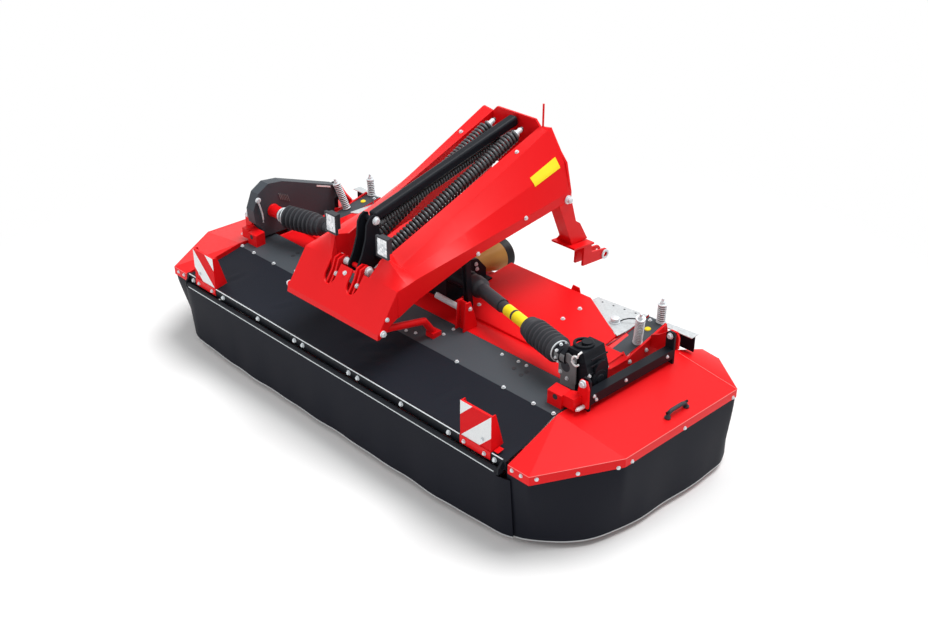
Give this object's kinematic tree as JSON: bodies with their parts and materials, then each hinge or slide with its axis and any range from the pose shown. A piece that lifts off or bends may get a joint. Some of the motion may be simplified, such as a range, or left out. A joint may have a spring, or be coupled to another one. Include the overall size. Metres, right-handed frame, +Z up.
{
  "type": "front mower conditioner",
  "caption": "Front-mounted disc mower with tine conditioner, folding end covers with rubber curtains, sprung red carrier frame and splined drive input.",
  "frame": {"origin": "on the floor, under the middle of the overall box, with the machine standing on its skids", "axes": "+X to the end seen on the right from the front, +Y rearwards towards the tractor, +Z up"},
  "size_m": [3, 1.532, 1.371],
  "materials": {
    "red_paint": "gloss enamel",
    "black_paint": "satin enamel",
    "grey_deck": "satin enamel",
    "zinc": "galvanised",
    "rubber": "matte",
    "fabric": "coated cloth",
    "spring_steel": "black oxide",
    "tan_guard": "moulded",
    "bare_steel": "worn",
    "lamp": "housing with lens",
    "board": "striped reflective"
  },
  "bodies": {
    "frame": {"arm_left": "red_paint", "arm_right": "red_paint", "beam_brackets": "red_paint", "belt_cover": "black_paint", "centre_gearbox": "black_paint", "centre_strut": "black_paint", "centring_springs": "zinc", "consoles": "black_paint", "corner_plates": "zinc", "cover_brackets_left": "red_paint", "cover_brackets_right": "red_paint", "cutterbar": "bare_steel", "deck_plate": "grey_deck", "drive_shaft_left": "black_paint", "drive_shaft_right": "black_paint", "end_gearbox": "black_paint", "fabric_top": "fabric", "float_springs": "spring_steel", "front_frame": "black_paint", "hangers": "black_paint", "headstock": "red_paint", "hood": "red_paint", "leg_left": "red_paint", "leg_right": "red_paint", "lower_links": "red_paint", "main_beam": "red_paint", "nose_panel": "red_paint", "pto_guard": "tan_guard", "rocker": "black_paint", "side_frame_left": "red_paint", "side_frame_right": "red_paint", "skids": "bare_steel", "upright_springs": "zinc", "vane_brackets": "zinc", "warning_boards": "board", "work_lamps": "lamp"},
    "rotor": {"conditioner_rotor": "black_paint", "rotor_tines": "bare_steel"},
    "input": {"input_shaft": "bare_steel"},
    "right_cover": {"cover_right": "red_paint", "curtain_right": "rubber", "cover_rail_right": "black_paint"},
    "left_cover": {"cover_left": "red_paint", "curtain_left": "rubber", "cover_rail_left": "black_paint"},
    "flap": {"flap_bar": "black_paint", "front_curtain": "rubber"},
    "right_vane": {"swath_vane_right": "black_paint"},
    "left_vane": {"swath_vane_left": "black_paint"},
    "disc_1_body": {"disc_1": "bare_steel"},
    "disc_2_body": {"disc_2": "bare_steel"},
    "disc_3_body": {"disc_3": "bare_steel"},
    "disc_4_body": {"disc_4": "bare_steel"},
    "disc_5_body": {"disc_5": "bare_steel"},
    "disc_6_body": {"disc_6": "bare_steel"},
    "disc_7_body": {"disc_7": "bare_steel"}
  },
  "joints": [
    {"name": "rotor_spin", "type": "hinge", "parent": "frame", "child": "rotor", "pos_m": [0, 0.0915, 0.285], "axis": [1, 0, 0], "continuous": true},
    {"name": "disc_1_spin", "type": "hinge", "parent": "frame", "child": "disc_1_body", "pos_m": [-1.155, -0.4335, 0.072], "axis": [0, 0, 1], "continuous": true},
    {"name": "disc_2_spin", "type": "hinge", "parent": "frame", "child": "disc_2_body", "pos_m": [-0.77, -0.4335, 0.072], "axis": [0, 0, 1], "continuous": true},
    {"name": "disc_3_spin", "type": "hinge", "parent": "frame", "child": "disc_3_body", "pos_m": [-0.385, -0.4335, 0.072], "axis": [0, 0, 1], "continuous": true},
    {"name": "disc_4_spin", "type": "hinge", "parent": "frame", "child": "disc_4_body", "pos_m": [0, -0.4335, 0.072], "axis": [0, 0, 1], "continuous": true},
    {"name": "disc_5_spin", "type": "hinge", "parent": "frame", "child": "disc_5_body", "pos_m": [0.385, -0.4335, 0.072], "axis": [0, 0, 1], "continuous": true},
    {"name": "disc_6_spin", "type": "hinge", "parent": "frame", "child": "disc_6_body", "pos_m": [0.77, -0.4335, 0.072], "axis": [0, 0, 1], "continuous": true},
    {"name": "disc_7_spin", "type": "hinge", "parent": "frame", "child": "disc_7_body", "pos_m": [1.155, -0.4335, 0.072], "axis": [0, 0, 1], "continuous": true},
    {"name": "input_spin", "type": "hinge", "parent": "frame", "child": "input", "pos_m": [0, 0.3615, 0.55], "axis": [0, 1, 0], "continuous": true},
    {"name": "right_cover_hinge", "type": "hinge", "parent": "frame", "child": "right_cover", "pos_m": [1.195, -0.0385, 0.61], "axis": [0, -1, 0], "range_deg": [0, 90]},
    {"name": "left_cover_hinge", "type": "hinge", "parent": "frame", "child": "left_cover", "pos_m": [-1.195, -0.0385, 0.61], "axis": [0, 1, 0], "range_deg": [0, 90]},
    {"name": "front_flap_hinge", "type": "hinge", "parent": "frame", "child": "flap", "pos_m": [0, -0.7545, 0.366], "axis": [-1, 0, 0], "range_deg": [0, 90]},
    {"name": "right_vane_hinge", "type": "hinge", "parent": "frame", "child": "right_vane", "pos_m": [1.01, 0.3515, 0.3], "axis": [0, 0, 1], "range_deg": [-15, 25]},
    {"name": "left_vane_hinge", "type": "hinge", "parent": "frame", "child": "left_vane", "pos_m": [-1.01, 0.3515, 0.3], "axis": [0, 0, -1], "range_deg": [-15, 25]}
  ],
  "couplings": [
    {"joint": "disc_1_spin", "follows": "rotor_spin", "ratio": 3},
    {"joint": "disc_2_spin", "follows": "rotor_spin", "ratio": -3},
    {"joint": "disc_3_spin", "follows": "rotor_spin", "ratio": 3},
    {"joint": "disc_4_spin", "follows": "rotor_spin", "ratio": -3},
    {"joint": "disc_5_spin", "follows": "rotor_spin", "ratio": 3},
    {"joint": "disc_6_spin", "follows": "rotor_spin", "ratio": -3},
    {"joint": "disc_7_spin", "follows": "rotor_spin", "ratio": 3},
    {"joint": "input_spin", "follows": "rotor_spin", "ratio": 1}
  ]
}
